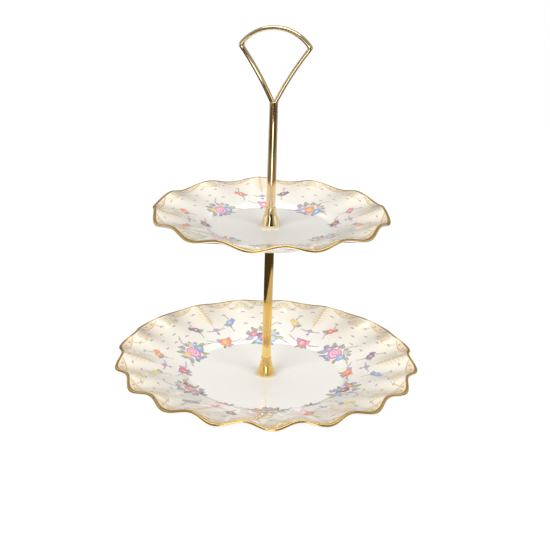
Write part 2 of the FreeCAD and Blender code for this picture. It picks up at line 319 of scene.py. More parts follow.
def china(plate):
    """White bone china; a warm flange tint that is partly ivory and partly painted shade, ivory
    panels inside the scallops, a faintly uneven glaze.
    """
    material, tree, bsdf, place = patterned(plate["name"] + "_china", IOR=1.52, Coat_Weight=1.0,
                                            Coat_Roughness=0.03, Subsurface_Weight=0.06,
                                            Subsurface_Scale=0.004)
    axes = node(tree, "ShaderNodeSeparateXYZ", {"Vector": place}).outputs
    angle = math_node(tree, "ARCTAN2", axes[1], axes[0])
    turned = math_node(tree, "SUBTRACT", angle, math.radians(plate["lobe_deg"]))
    wave = math_node(tree, "COSINE", math_node(tree, "MULTIPLY", turned, plate["lobes"]))
    radius = math_node(tree, "SQRT", math_node(tree, "ADD", math_node(tree, "POWER", axes[0], 2.0),
                                               math_node(tree, "POWER", axes[1], 2.0)))
    rim = math_node(tree, "MULTIPLY_ADD", wave, plate["swing_out"] * MM, plate["rim_r"] * MM)
    inset = math_node(tree, "SUBTRACT", rim, radius)
    depth = math_node(tree, "MULTIPLY", math_node(tree, "MULTIPLY_ADD", wave, 0.5, 0.5, clamp=True),
                      PANEL_DEPTH * plate["scale"] * MM)
    edge = math_node(tree, "DIVIDE", math_node(tree, "SUBTRACT", depth, inset), PANEL_FADE)
    panel = math_node(tree, "MULTIPLY", math_node(tree, "ADD", edge, 0.5, clamp=True), 0.8)
    past_well = math_node(tree, "SUBTRACT", radius, IVORY_AND_SHADE_R * plate["scale"] * MM)
    outward = math_node(tree, "DIVIDE", past_well, IVORY_AND_SHADE_REACH * plate["scale"] * MM, clamp=True)
    normal = node(tree, "ShaderNodeNewGeometry").outputs["Normal"]
    up = node(tree, "ShaderNodeSeparateXYZ", {"Vector": normal}).outputs[2]
    on_top = math_node(tree, "MULTIPLY", up, 5.0, clamp=True)   # the underside stays white: the painted shade and the panels lie on top faces only
    panel = math_node(tree, "MULTIPLY", panel, on_top)
    outward = math_node(tree, "MULTIPLY", outward, on_top)
    mottle = noise(tree, place, 26.0)
    # painted shade: the flange's top faces turn tan outward, partly ivory china and partly the warm
    # shade that falls on them
    ground = colour_mix(tree, outward, WELL_WHITE, FLANGE_IVORY_AND_SHADE)
    ground = colour_mix(tree, spread(tree, mottle, 0.0, 0.35), ground, MOTTLED)
    ground = colour_mix(tree, panel, ground, PANEL_IVORY)
    surface(tree, bsdf, ground, spread(tree, noise(tree, place, 60.0), 0.04, 0.09))
    bumped(tree, bsdf, noise(tree, place, 45.0, 2.0), 0.12, 0.0004)
    return material


def polished_gold(name, colour, deep):
    """Polished plating with faint drawn streaks along the rod and a little tarnish."""
    material, tree, bsdf, place = patterned(name, Metallic=1.0)
    drawn = node(tree, "ShaderNodeMapping", {"Vector": place, "Scale": (1.0, 1.0, 0.03)}).outputs[0]
    tarnish = noise(tree, place, 90.0, 4.0)
    lines = noise(tree, drawn, 500.0, 5.0, 0.7)
    surface(tree, bsdf, colour_mix(tree, spread(tree, tarnish, 0.0, 0.6), colour, deep),
            spread(tree, lines, 0.035, 0.115))
    bumped(tree, bsdf, lines, 0.012, 0.0001)
    return material


def enamel(name, metallic=0.0, roughness=(0.16, 0.30)):
    """Overglaze enamel: each stroke's own colour, laid a little thick and thin."""
    material, tree, bsdf, place = patterned(name, IOR=1.5, Coat_Weight=0.3, Coat_Roughness=0.08,
                                            Metallic=metallic)
    paint = node(tree, "ShaderNodeVertexColor", layer_name="paint").outputs["Color"]
    patchy = noise(tree, place, 420.0, 3.0)
    thin = spread(tree, patchy, 0.05, 0.34)
    surface(tree, bsdf, colour_mix(tree, thin, paint, (0.93, 0.91, 0.88, 1)),
            spread(tree, patchy, *roughness))
    return material


def grained(name, scale, detail, colours, rough, bump=None, **values):
    """A surface whose colour, roughness and bump (strength, distance) follow one grain."""
    material, tree, bsdf, place = patterned(name, **values)
    grain = noise(tree, place, scale, detail)
    surface(tree, bsdf, colour_mix(tree, grain, *colours), spread(tree, grain, *rough))
    if bump:
        bumped(tree, bsdf, grain, *bump)
    return material


CHINA = {"lower": china(LOWER), "upper": china(UPPER)}
PALE_GOLD = polished_gold("pale_gold_plate", (0.96, 0.81, 0.52, 1), (0.87, 0.69, 0.41, 1))
RICH_GOLD = polished_gold("rich_gold_plate", (0.98, 0.71, 0.26, 1), (0.91, 0.60, 0.18, 1))
GILT_RIM = grained("gilt_rim", 160.0, 4.0, ((0.95, 0.70, 0.27, 1), (0.80, 0.54, 0.18, 1)),
                   (0.12, 0.24), (0.06, 0.0002), Metallic=1.0)
ENAMEL = enamel("painted_enamel")
ENAMEL_GOLD = enamel("painted_gold", 0.35, (0.22, 0.38))
ZINC = grained("bright_zinc", 300.0, 3.0, ((0.72, 0.72, 0.71, 1), (0.55, 0.55, 0.56, 1)),
               (0.22, 0.42), Metallic=1.0)
SOFT = grained("soft_washer_plastic", 500.0, 3.0, ((0.62, 0.57, 0.49, 1), (0.52, 0.48, 0.41, 1)),
               (0.45, 0.65), (0.2, 0.0001), IOR=1.45, Subsurface_Weight=0.2,
               Subsurface_Scale=0.001)


# ======== plates ========
def scalloped(plate, name, rows, per_lobe, tops, material, cad_node=None):
    """A closed section carried round the scallops; its first tops rows take the relief."""
    count = plate["lobes"] * per_lobe
    angles = np.linspace(0, 2 * math.pi, count, endpoint=False)
    rings = [on_ring(plate, row, angles, i < tops) for i, row in enumerate(rows)]
    faces = [f[::-1] for f in ring_faces(len(rows), count, closed_rows=True)]
    obj = new_object(plate["name"] + name, np.concatenate(rings) * MM, faces, material)
    placed(obj, plate["body"], cad_node)


def build_plate(plate):
    flange, middle = plate_section(plate)
    highest = max(range(len(flange)), key=lambda i: flange[i][1])
    scalloped(plate, "_plate_china", flange + middle[::-1][1:-1], 24 if plate["lobes"] > 12 else 32,
              highest + 1, CHINA[plate["name"]], plate["name"] + "_plate")


GILT_WIDTH, GILT_LIFT, GILT_ROOT = 2.0, 0.09, 0.15


def gilt_rim(plate):
    """The gold band over the edge: a thin closed skin standing on the china."""
    fine = clamped_spline(flange_rows(plate), 10)
    crest = max(range(len(fine)), key=lambda i: fine[i][0])
    path = np.array([row for row in fine[:crest + 1] if row[0] > plate["rim_r"] - GILT_WIDTH])
    along = np.gradient(path[:, :2], axis=0)
    along /= np.linalg.norm(along, axis=1)[:, None]
    outward = np.stack([-along[:, 1], along[:, 0]], 1)
    lift = np.full(len(path), GILT_LIFT)
    lift[[0, -1]] = 0.0
    skin, root = path.copy(), path.copy()
    skin[:, :2] += outward * lift[:, None]
    root[:, :2] -= outward * GILT_ROOT
    scalloped(plate, "_gilt_rim", list(skin) + list(root[::-1]), 24, 0, GILT_RIM)


# ======== painting on the plates ========
# colours as seen under white light, each tone as (middle, edge)
SEEN_TO_LINEAR = 1.9    # power that turns a colour as seen into the shader's own
LEAVES = (((0.66, 0.71, 0.38), (0.42, 0.50, 0.24)), ((0.74, 0.74, 0.46), (0.54, 0.55, 0.28)),
          ((0.50, 0.60, 0.38), (0.30, 0.42, 0.28)), ((0.66, 0.62, 0.50), (0.50, 0.45, 0.34)))
TWIG_TONES = (((0.62, 0.58, 0.48), (0.50, 0.45, 0.36)), ((0.66, 0.50, 0.56), (0.52, 0.34, 0.42)),
              ((0.60, 0.60, 0.68), (0.45, 0.44, 0.55)), ((0.58, 0.62, 0.42), (0.44, 0.48, 0.30)))
STEM = (0.60, 0.44, 0.50)
STEM_OLIVE = (0.56, 0.52, 0.40)
PETALS = {
    "pink": ((0.93, 0.55, 0.68), (0.80, 0.30, 0.48)),
    "magenta": ((0.86, 0.42, 0.60), (0.70, 0.20, 0.42)),
    "blue": ((0.46, 0.66, 0.88), (0.26, 0.46, 0.74)),
    "sky": ((0.56, 0.74, 0.90), (0.34, 0.54, 0.78)),
    "purple": ((0.52, 0.36, 0.58), (0.34, 0.18, 0.42)),
    "violet": ((0.66, 0.58, 0.78), (0.48, 0.40, 0.64)),
    "plum": ((0.44, 0.20, 0.38), (0.28, 0.10, 0.26)),
    "orange": ((0.94, 0.56, 0.32), (0.84, 0.36, 0.20)),
    "red": ((0.90, 0.44, 0.34), (0.76, 0.26, 0.22)),
    "yellow": ((0.90, 0.82, 0.46), (0.76, 0.68, 0.30)),
    "slate": ((0.58, 0.62, 0.72), (0.40, 0.44, 0.58)),
}
EYE = (0.94, 0.76, 0.34)
ROSE = ((0.99, 0.90, 0.93), (0.92, 0.54, 0.70), (0.78, 0.26, 0.48))

# heights over the glaze in millimetres: the lowest layer, each further layer, and the small step
# that keeps neighbours in one layer apart; patches end a little below the glaze
FIRST_LIFT, LAYER_LIFT, NEIGHBOUR_LIFT, NEIGHBOURS = 0.05, 0.022, 0.0004, 40
SUNK = -0.04
PATCH_EDGE, STROKE_EDGE = 0.015, 0.01       # how much lower the edges of a patch or a stroke lie
RING_STEP = 1.3                             # widest ring inside a patch


class Canvas:
    """Thin closed patches of enamel or gilding laid on a plate's upper surface."""

    def __init__(self, top):
        self.top, self.verts, self.faces, self.paint = top, [], [], []
        self.stack = 0

    def lift(self, layer):
        self.stack += 1
        return FIRST_LIFT + LAYER_LIFT * layer + NEIGHBOUR_LIFT * (self.stack % NEIGHBOURS)

    def add(self, x, y, lift, colour):
        self.verts.append((x * MM, y * MM, (self.top.height(x, y) + lift) * MM))
        self.paint.append(tuple(c ** SEEN_TO_LINEAR for c in colour))
        return len(self.verts) - 1

    def patch(self, outline, centre, inner, outer, layer=0):
        """A closed patch; its colour runs from inner at the centre to outer at the edge."""
        lift, n = self.lift(layer), len(outline)
        reach = max(math.dist(p, centre) for p in outline)
        count = max(2, math.ceil(reach / RING_STEP))
        middle, rings = self.add(*centre, lift, inner), []
        for j in range(1, count + 1):
            s = j / count
            tint = tuple(a + (b - a) * s for a, b in zip(inner, outer))
            height = lift - (PATCH_EDGE if j == count else 0)
            rings.append([self.add(centre[0] + (x - centre[0]) * s,
                                   centre[1] + (y - centre[1]) * s, height, tint)
                          for x, y in outline])
        rings.append([self.add(x, y, SUNK, outer) for x, y in outline])
        base = self.add(*centre, SUNK, inner)
        for i in range(n):
            j = (i + 1) % n
            self.faces.append((middle, rings[0][i], rings[0][j]))
            self.faces += [(a[i], b[i], b[j], a[j]) for a, b in zip(rings, rings[1:])]
            self.faces.append((base, rings[-1][j], rings[-1][i]))

    def petal(self, root, direction, length, width, inner, outer, layer=0, tip=0.0):
        """A rounded petal growing from root along direction (radians)."""
        ux, uy = math.cos(direction), math.sin(direction)
        outline = []
        for k in range(12):
            a = 2 * math.pi * k / 12
            along = length * (0.5 + 0.5 * math.cos(a))
            taper = 1 - tip * math.cos(a)
            across = 0.5 * width * math.sin(a) * taper
            outline.append((root[0] + ux * along - uy * across,
                            root[1] + uy * along + ux * across))
        centre = (root[0] + ux * length * 0.45, root[1] + uy * length * 0.45)
        self.patch(outline, centre, inner, outer, layer)

    def dot(self, at, size, inner, outer=None, layer=0, sides=10):
        outline = [(at[0] + size * math.cos(2 * math.pi * k / sides),
                    at[1] + size * math.sin(2 * math.pi * k / sides)) for k in range(sides)]
        self.patch(outline, at, inner, outer or inner, layer)

    def stroke(self, points, widths, colour, layer=0):
        """A closed ribbon along plan points; widths is one number, or one at each point."""
        points = np.array(points, float)
        widths = np.full(len(points), widths) if np.isscalar(widths) else np.array(widths)
        along = np.gradient(points, axis=0)
        along /= np.maximum(np.linalg.norm(along, axis=1), 1e-9)[:, None]
        side = np.stack([-along[:, 1], along[:, 0]], 1) * widths[:, None] / 2
        lift, rows = self.lift(layer), []
        for p, s in zip(points, side):
            edge = lift - STROKE_EDGE
            rows.append([self.add(*at, height, colour) for at, height in
                         ((p - s, edge), (p, lift), (p + s, edge), (p + s, SUNK), (p - s, SUNK))])
        for a, b in zip(rows, rows[1:]):
            for i in range(len(a)):
                j = (i + 1) % len(a)
                self.faces.append((a[j], a[i], b[i], b[j]))
        self.faces += [tuple(rows[0]), tuple(rows[-1][::-1])]

    def finish(self, name, material, body):
        """Makes the one mesh that holds every patch, with its colours as the paint attribute."""
        obj = new_object(name, self.verts, self.faces, material, smooth=False)
        colours = obj.data.color_attributes.new("paint", "FLOAT_COLOR", "POINT")
        paint = np.array([(*c, 1.0) for c in self.paint], np.float32)
        colours.data.foreach_set("color", paint.ravel())
        obj.visible_shadow = False
        placed(obj, body, None)


class Spray:
    """Draws in a motif's own directions: t runs anticlockwise round the plate, r outward."""

    def __init__(self, canvas, radius, angle_deg, size=1.0, spin_deg=0.0, seed=0):
        self.canvas, self.size = canvas, size
        a = math.radians(angle_deg)
        self.at = polar(radius, a)
        self.turn = a - math.pi / 2 + math.radians(spin_deg)
        self.rng = random.Random(seed)

    def plan(self, t, r):
        c, s = math.cos(self.turn), math.sin(self.turn)
        return (self.at[0] - (t * c + r * s) * self.size,
                self.at[1] + (r * c - t * s) * self.size)

    def heading(self, deg):
        """A direction in the motif's frame, 0 along t and 90 outward, as a plan angle."""
        a = math.radians(deg)
        x0, y0 = self.plan(0, 0)
        x1, y1 = self.plan(math.cos(a), math.sin(a))
        return math.atan2(y1 - y0, x1 - x0)

    def vary(self, colour, amount=0.05):
        """The colour a little off, as a brush would give it."""
        return tuple(min(1.0, max(0.0, c + self.rng.uniform(-amount, amount))) for c in colour)

    def bloom(self, t, r, size, petals, inner, outer, eye=None, spin=0.0, layer=1):
        """An open flower; eye is the colour of its dotted middle."""
        root = self.plan(t, r)
        for k in range(petals):
            deg = spin + 360 * k / petals + self.rng.uniform(-6, 6)
            length = size * self.rng.uniform(0.86, 1.1)
            self.canvas.petal(root, self.heading(deg), length * self.size,
                              1.85 * length * self.size * math.sin(math.pi / petals) * 0.95,
                              self.vary(inner), self.vary(outer), layer, tip=-0.25)
        if eye:
            for k in range(6):
                a = 2 * math.pi * k / 6
                ring = self.plan(t + 0.30 * size * math.cos(a), r + 0.30 * size * math.sin(a))
                self.canvas.dot(ring, 0.09 * size * self.size, self.vary(eye, 0.12), None,
                                layer + 2, 6)
            self.canvas.dot(root, 0.22 * size * self.size, eye, self.vary(eye, 0.1), layer + 2)

    def rose(self, t, r, size, pale, mid, deep):
        """Layered rose: open outer petals, folded inner ones and a pale heart."""
        rings = ((1.0, 7, mid, deep), (0.78, 6, pale, mid),
                 (0.55, 5, mid, deep), (0.40, 4, pale, mid))
        for ring, (reach, count, inner, outer) in enumerate(rings):
            root = self.plan(t, r + 0.06 * ring * size)
            for k in range(count):
                deg = 30 * ring + 360 * k / count + self.rng.uniform(-8, 8)
                self.canvas.petal(root, self.heading(deg), reach * size * self.size,
                                  1.15 * reach * size * self.size, self.vary(inner, 0.03),
                                  self.vary(outer, 0.04), 1 + ring, tip=-0.3)
        heart, bud = self.plan(t, r + 0.2 * size), self.plan(t, r + 0.1 * size)
        self.canvas.dot(heart, 0.22 * size * self.size, pale, mid, 6)
        self.canvas.dot(bud, 0.10 * size * self.size, deep, deep, 7)

    def leaf(self, t, r, deg, length, width, tone):
        """A leaf with a mid vein and two side veins; width is its share of the length."""
        inner, outer = LEAVES[tone]
        root = self.plan(t, r)
        self.canvas.petal(root, self.heading(deg), length * self.size, width * length * self.size,
                          self.vary(inner, 0.03), self.vary(outer, 0.03), tip=0.35)
        a = math.radians(deg)
        for side, start, reach in ((-40, 0.3, 0.25), (0, 0.05, 1), (40, 0.3, 0.25)):
            b = math.radians(deg + side)
            vein = [self.plan(t + math.cos(a) * length * start + math.cos(b) * length * s * reach,
                              r + math.sin(a) * length * start + math.sin(b) * length * s * reach)
                    for s in (0.0, 0.35, 0.65, 0.85)]
            self.canvas.stroke(vein, 0.3 * self.size, tuple(0.75 * c for c in outer), 1)

    def stem(self, points, colour):
        """A thin curved stem through a few points of the motif."""
        points = np.array(points, float)
        t = np.linspace(0, len(points) - 1, 4 * len(points))
        smooth = np.stack([np.interp(t, range(len(points)), points[:, k]) for k in (0, 1)], 1)
        for _ in range(2):
            smooth[1:-1] = (smooth[:-2] + 2 * smooth[1:-1] + smooth[2:]) / 4
        self.canvas.stroke([self.plan(*p) for p in smooth], 0.45 * self.size, colour)

    def twig(self, t, r, deg, length, colour, buds, bend, count=6):
        """A fine side spray: a bent stem with paired leaflets and a few buds."""
        points, at, heading = [(t, r)], np.array((t, r), float), deg
        step = length / count
        for k in range(count):
            heading += bend / count * (1 if k % 2 else 1.6)
            at = at + step * np.array(polar(1, math.radians(heading)))
            points.append(tuple(at))
        self.stem(points, colour)
        for k, (a, b) in enumerate(points[1:]):
            for side in (52, -52):
                size = max(step, 2.0) * self.rng.uniform(0.62, 0.95) * (1 - 0.06 * k)
                if (2 * k + (side > 0)) % 5 == 3:
                    paler = [tuple(0.6 * c + 0.24 for c in tone) for tone in buds]
                    self.bloom(a + 0.3, b, size * 0.6, 4, *paler, None, side)
                else:
                    inner, outer = TWIG_TONES[self.rng.randrange(len(TWIG_TONES))]
                    self.canvas.petal(self.plan(a, b), self.heading(heading + side),
                                      size * self.size, 0.5 * size * self.size,
                                      self.vary(inner), self.vary(outer), tip=0.3)


def bouquet(spray, kind):
    """The large group in the middle of a sector, lying along the edge of the well."""
    first, second, third = kind
    for t, r, deg, length, tone in (
            (7.5, 5.5, 48, 10.5, 0), (3.0, 8.0, 82, 9.5, 1), (11, 0.5, 8, 8.5, 2),
            (-14, 0, 186, 9.0, 1), (-7, -6, 235, 8.5, 0), (6, -6, -48, 8.5, 2),
            (-8.5, 6.5, 128, 8.0, 3), (-1, -8, 268, 7.0, 3), (13, -5, -28, 6.5, 0)):
        spray.leaf(t, r, deg, length, 0.52, tone)
    for t, r, size, name in (
            (1.0, 12.5, 3.0, "violet"), (-5.5, 11.5, 2.8, "slate"), (13, -3.5, 3.2, "violet"),
            (3.0, -10, 3.0, "slate"), (-15.5, 6.0, 2.6, "slate"), (16.5, 4.0, 2.6, "violet"),
            (-3.0, -11.5, 2.4, "violet"), (8.5, 9.5, 2.3, "slate")):
        spray.bloom(t, r, size, 5, *PETALS[name], None, 20)
    spray.bloom(-9.2, 8.0, 4.0, 7, (0.84, 0.82, 0.70), (0.58, 0.58, 0.46), EYE)
    if first == "rose":
        spray.rose(0, 0, 8.0, *ROSE)
    else:
        spray.bloom(0, 0, 7.2, 8, *PETALS[first], EYE, 0, 2)
    spray.bloom(-10.8, -1.4, 5.6, 5, *PETALS[second], EYE, 36, 2)
    spray.bloom(4.5, -7.0, 3.6, 5, *PETALS[second], EYE, 10, 3)
    spray.bloom(10.4, 1.8, 4.8, 5, *PETALS[third], EYE)
    spray.twig(-4, 13, 108, 15, STEM, PETALS["pink"], 28)
    spray.twig(13, -3, -20, 13, STEM, PETALS["violet"], -24)
    spray.twig(-17, -1.5, 190, 13, STEM, PETALS["pink"], 24)


def single(spray, name):
    """The smaller flower on the edge of the well, under each feather."""
    for deg, tone in ((35, 1), (150, 0), (-60, 2), (215, 3)):
        spray.leaf(*polar(3, math.radians(deg)), deg, 7.0, 0.45, tone)
    spray.bloom(5.0, 2.4, 3.0, 5, *PETALS["violet"], None, 10)
    spray.bloom(0, 0, 5.6, 6, *PETALS[name], EYE, 0, 2)
    spray.bloom(-5.4, 1.0, 3.4, 5, *PETALS["red" if name == "orange" else "pink"], None, 10)
    spray.bloom(-2.5, -5.5, 2.4, 5, *PETALS["slate"], None, 30)
    spray.twig(-7, -1, 196, 13, STEM, PETALS["violet"], -22)
    spray.twig(6.5, 1, 8, 13, STEM_OLIVE, PETALS["pink"], 24)


def side_flower(spray, name, way):
    """The flower on the flange beside a feather; way is the side its tail runs to."""
    spray.leaf(2.0 * way, 2.0, 60 if way > 0 else 120, 6.5, 0.45, 1)
    spray.leaf(-2.4 * way, -1.5, 200 if way > 0 else -20, 6.5, 0.45, 0)
    spray.leaf(0.5 * way, -2.5, 250 if way > 0 else -70, 5.5, 0.42, 3)
    spray.bloom(0, 0, 4.6, 6, *PETALS[name], EYE, 0, 2)
    spray.bloom(4.6 * way, 3.2, 3.0, 5, *PETALS[name], None, 20)
    spray.bloom(-3.8 * way, -3.8, 2.6, 5, *PETALS["slate"], None, 20)
    spray.twig(1.0 * way, 4.4, 95 if way > 0 else 85, 10, STEM, PETALS["red"], 14 * way, 5)
    spray.twig(-1.0 * way, -5.0, 262 if way > 0 else 278, 10, STEM_OLIVE, PETALS["pink"],
               22 * way, 5)


def sprig(spray):
    """The thin spray between a feather and the well."""
    spray.twig(0, 4, 205, 9, STEM, PETALS["pink"], -34, 4)
    spray.twig(0, 4, -25, 9, STEM, PETALS["violet"], 34, 4)
    spray.stem([(0, 8), (0.6, 4), (0, 0), (-0.5, -4)], STEM)
    spray.bloom(0, 4, 2.6, 5, *PETALS["violet"])
    spray.bloom(0.2, -1, 1.7, 4, *PETALS["violet"])


def grey_mark(spray):
    """The small grey three-leaf mark that repeats over the flange."""
    inner, outer = (0.60, 0.59, 0.61), (0.52, 0.51, 0.54)
    for deg, length in ((8, 2.6), (90, 1.9), (172, 2.6)):
        spray.canvas.petal(spray.plan(0, 0), spray.heading(deg), length * spray.size,
                           1.25 * spray.size, inner, outer, tip=0.2)


FLOWER_SIZE = 0.88


# rows of grey marks: radius on the lower plate, the share of a sector left clear at each feather,
# and whether the row is moved along by half a mark
GREY_ROWS = ((95, 0.30, 0), (103.5, 0.26, 1), (111.5, 0.13, 0), (118.5, 0.08, 1))
MARKS_PER_SECTOR = 6


def paint_plate(plate, bouquets, singles, sides, bouquet_r, single_r, sprig_r, side_r, side_deg):
    """Flowers and grey marks: one bouquet a sector, smaller flowers about each feather."""
    top = Top(plate)
    flowers, marks = Canvas(top), Canvas(top)
    sectors = plate["lobes"] // LOBES_PER_SECTOR
    step = 360 / sectors
    feather = plate["lobe_deg"] + 180 / plate["lobes"]
    size = plate["scale"] ** 0.7
    large = FLOWER_SIZE * size
    for k in range(sectors):
        line = feather + step * k
        bouquet(Spray(flowers, bouquet_r, line + step / 2, large, 6 * (-1) ** k, 10 + k),
                bouquets[k])
        single(Spray(flowers, single_r, line, large, 0, 30 + k), singles[k])
        sprig(Spray(flowers, sprig_r, line, size, 0, 50 + k))
        for way in (-1, 1):
            side_flower(Spray(flowers, side_r, line + way * side_deg, large, 0,
                              70 + 2 * k + way), sides[2 * k + (way > 0)], way)
    for radius, clear, staggered in GREY_ROWS:
        for k in range(sectors):
            for m in range(MARKS_PER_SECTOR + 1):
                share = (m + 0.5 * staggered) / MARKS_PER_SECTOR
                if clear < share < 1 - clear:
                    angle = feather + step * (k + share)
                    grey_mark(Spray(marks, radius * plate["scale"], angle, size))
    flowers.finish(plate["name"] + "_painted_flowers", ENAMEL, plate["body"])
    marks.finish(plate["name"] + "_grey_marks", ENAMEL, plate["body"])


GOLD_DOT, GOLD_DOT_EDGE = (0.80, 0.58, 0.26), (0.68, 0.46, 0.17)
PANEL_LINE, GOLD_LINE, GOLD_PALE = (0.70, 0.54, 0.31), (0.82, 0.68, 0.44), (0.93, 0.84, 0.64)
BARBS = 16          # on each side of a feather
RAY_ROOT = 15       # from the rim to where the rays of a gilded shell meet


def gild_plate(plate):
    """Gold lines and dots inside each scallop; a feather or a shell at each notch."""
    top, scale = Top(plate), plate["scale"]
    fine = scale ** 0.5
    lines, pale = Canvas(top), Canvas(top)
    lobe = 2 * math.pi / plate["lobes"]

    def at(angle, inset, across):
        """A point inset from the rim at angle, and across to the anticlockwise side."""
        radius = plate["rim_r"] - plate["swing_out"] - inset
        return (radius * math.cos(angle) - across * math.sin(angle),
                radius * math.sin(angle) + across * math.cos(angle))

    def panel(middle):
        line = []
        for s in np.linspace(-0.62, 0.62, 19):
            angle = middle + s * lobe / 2
            inset = PANEL_DEPTH * scale * (0.5 + 0.5 * math.cos(math.pi * s))
            line.append(polar(top.rim(angle) - inset, angle))
        lines.stroke(line, 0.7, PANEL_LINE)
        for s in (-0.30, 0.0, 0.30):
            angle = middle + s * lobe / 2
            lines.dot(polar(top.rim(angle) - 5.0 * scale, angle), 1.05 * scale,
                      GOLD_DOT, GOLD_DOT_EDGE)

    def feather(notch):
        for side in (-1, 1):
            for b in range(BARBS):
                s = b / (BARBS - 1)
                root = 2.0 + s * 27
                reach = 6.5 * math.sin(math.pi * (0.12 + 0.80 * (1 - s))) + 0.8
                barb = [at(notch, (root - 5.5 * u + 3.5 * u * u) * scale, side * reach * u * scale)
                        for u in np.linspace(0, 1, 6)]
                pale.stroke(barb, np.linspace(0.75, 0.25, 6) * fine,
                            GOLD_LINE if b % 2 else GOLD_PALE)
        quill = [at(notch, i * scale, 0.5 * math.sin(i / 5)) for i in np.linspace(1.6, 33, 14)]
        pale.stroke(quill, np.linspace(1.0, 0.35, 14) * fine, GOLD_LINE, 1)

    def shell(notch):
        for ray in range(-4, 5):
            a = ray * 0.24
            reach = 10.5 - 0.35 * abs(ray)
            line = [at(notch, (RAY_ROOT - reach * u * math.cos(a)) * scale,
                       reach * u * math.sin(a) * scale) for u in np.linspace(0.18, 1, 7)]
            pale.stroke(line, np.linspace(0.35, 0.85, 7) * fine,
                        GOLD_PALE if ray % 2 else GOLD_LINE)
            pale.dot(line[-1], 0.75 * scale, GOLD_PALE, GOLD_LINE, 1, 8)
        for reach in (4.0, 7.0):
            arc = [at(notch, (RAY_ROOT - reach * math.cos(a)) * scale, reach * math.sin(a) * scale)
                   for a in np.linspace(-1.0, 1.0, 11)]
            pale.stroke(arc, 0.4 * fine, GOLD_PALE)
        for side in (-1, 1):
            scroll = [at(notch, (14 - 9.5 * u + 2.5 * math.sin(3 * u)) * scale,
                         side * (2.0 + 11.5 * u ** 0.7) * scale) for u in np.linspace(0, 1, 10)]
            pale.stroke(scroll, np.linspace(0.4, 0.9, 10) * fine, GOLD_LINE)

    for k in range(plate["lobes"]):
        middle = math.radians(plate["lobe_deg"]) + k * lobe
        panel(middle)
        (shell if k % LOBES_PER_SECTOR else feather)(middle + lobe / 2)
    lines.finish(plate["name"] + "_gilding", ENAMEL_GOLD, plate["body"])
    pale.finish(plate["name"] + "_pale_gilding", ENAMEL_GOLD, plate["body"])


for plate in (LOWER, UPPER):
    build_plate(plate)
for plate in (LOWER, UPPER):
    gilt_rim(plate)
paint_plate(LOWER,
            (("rose", "blue", "violet"), ("purple", "sky", "magenta"), ("rose", "blue", "yellow"),
             ("pink", "plum", "slate"), ("slate", "red", "plum"), ("plum", "sky", "red")),
            ("orange", "magenta", "orange", "magenta", "red", "plum"),
            ("blue", "purple", "red", "yellow", "blue", "purple", "orange", "yellow",
             "slate", "plum", "red", "yellow"),
            bouquet_r=76, single_r=73.5, sprig_r=87, side_r=99, side_deg=11)
paint_plate(UPPER,
            (("orange", "blue", "violet"), ("rose", "blue", "yellow"), ("red", "sky", "slate"),
             ("blue", "orange", "violet")),
            ("plum", "magenta", "plum", "pink"),
            ("orange", "pink", "plum", "red", "orange", "red", "purple", "blue"),
            bouquet_r=56, single_r=56, sprig_r=66, side_r=75, side_deg=15)
for plate in (LOWER, UPPER):
    gild_plate(plate)

# ======== metalwork ========
FERRULE_H, FERRULE_FLOOR, FERRULE_BORE_R = 16.8, 2.0, 2.75
TUBE_R, TUBE_BORE_R, STEM_TOP_R, STEM_TOP_BORE_R = 3.95, 3.1, 3.45, 2.6
COLUMN_BASE_Z, HANDLE_BASE_Z = 9.1, 149.8
STEM_TOP_Z, LOOP_TOP_Z = 256.3, 318.0


def ferrule(name, base_z, material, body, cad_node):
    """A hollow cone with its foot at base_z and a socket for the rod."""
    top, floor, socket_r = base_z + FERRULE_H, base_z + FERRULE_FLOOR, TUBE_R + 0.03
    lathe(name, [(FERRULE_BORE_R, base_z, 0), (8.1, base_z, 0.5), (8.1, base_z + 1.4, 1.5),
                 (5.5, base_z + 9.6, 20.0), (4.45, top - 0.8, 0.3), (4.4, top, 0.2),
                 (socket_r, top, 0), (socket_r, floor, 0), (FERRULE_BORE_R, floor, 0)],
          material, body, cad_node)


ferrule("lower_ferrule_gold", COLUMN_BASE_Z, RICH_GOLD, "column", "lower_ferrule")
ferrule("handle_ferrule_gold", HANDLE_BASE_Z, PALE_GOLD, "handle", "handle_ferrule")
tube_low, tube_top = COLUMN_BASE_Z + FERRULE_FLOOR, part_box("spacer_tube")[1].z / MM
lathe("spacer_tube_gold", [(TUBE_BORE_R, tube_low, 0), (TUBE_R, tube_low, 0),
                           (TUBE_R, tube_top, 0), (TUBE_BORE_R, tube_top, 0)],
      RICH_GOLD, "column", "spacer_tube")
stem_low = HANDLE_BASE_Z + FERRULE_FLOOR
lathe("handle_stem_gold", [(TUBE_BORE_R, stem_low, 0), (TUBE_R, stem_low, 0),
                           (TUBE_R, HANDLE_BASE_Z + FERRULE_H + 6, 30),
                           (STEM_TOP_R, STEM_TOP_Z, 0.4), (STEM_TOP_BORE_R, STEM_TOP_Z, 0),
                           (STEM_TOP_BORE_R, stem_low + 12, 0), (TUBE_BORE_R, stem_low + 12, 0)],
      PALE_GOLD, "handle", "handle_stem")


def skinned(name, rings, material, body, cad_node, crease_deg):
    """A closed solid through rings of points in millimetres, with flat ends."""
    count = len(rings[0])
    verts = [(x * MM, y * MM, z * MM) for ring in rings for x, y, z in ring]
    faces = ring_faces(len(rings), count)
    faces += [tuple(range(count))[::-1], tuple(range(len(verts) - count, len(verts)))]
    obj = new_object(name, verts, faces, material)
    sharpen(obj, crease_deg)
    placed(obj, body, cad_node)


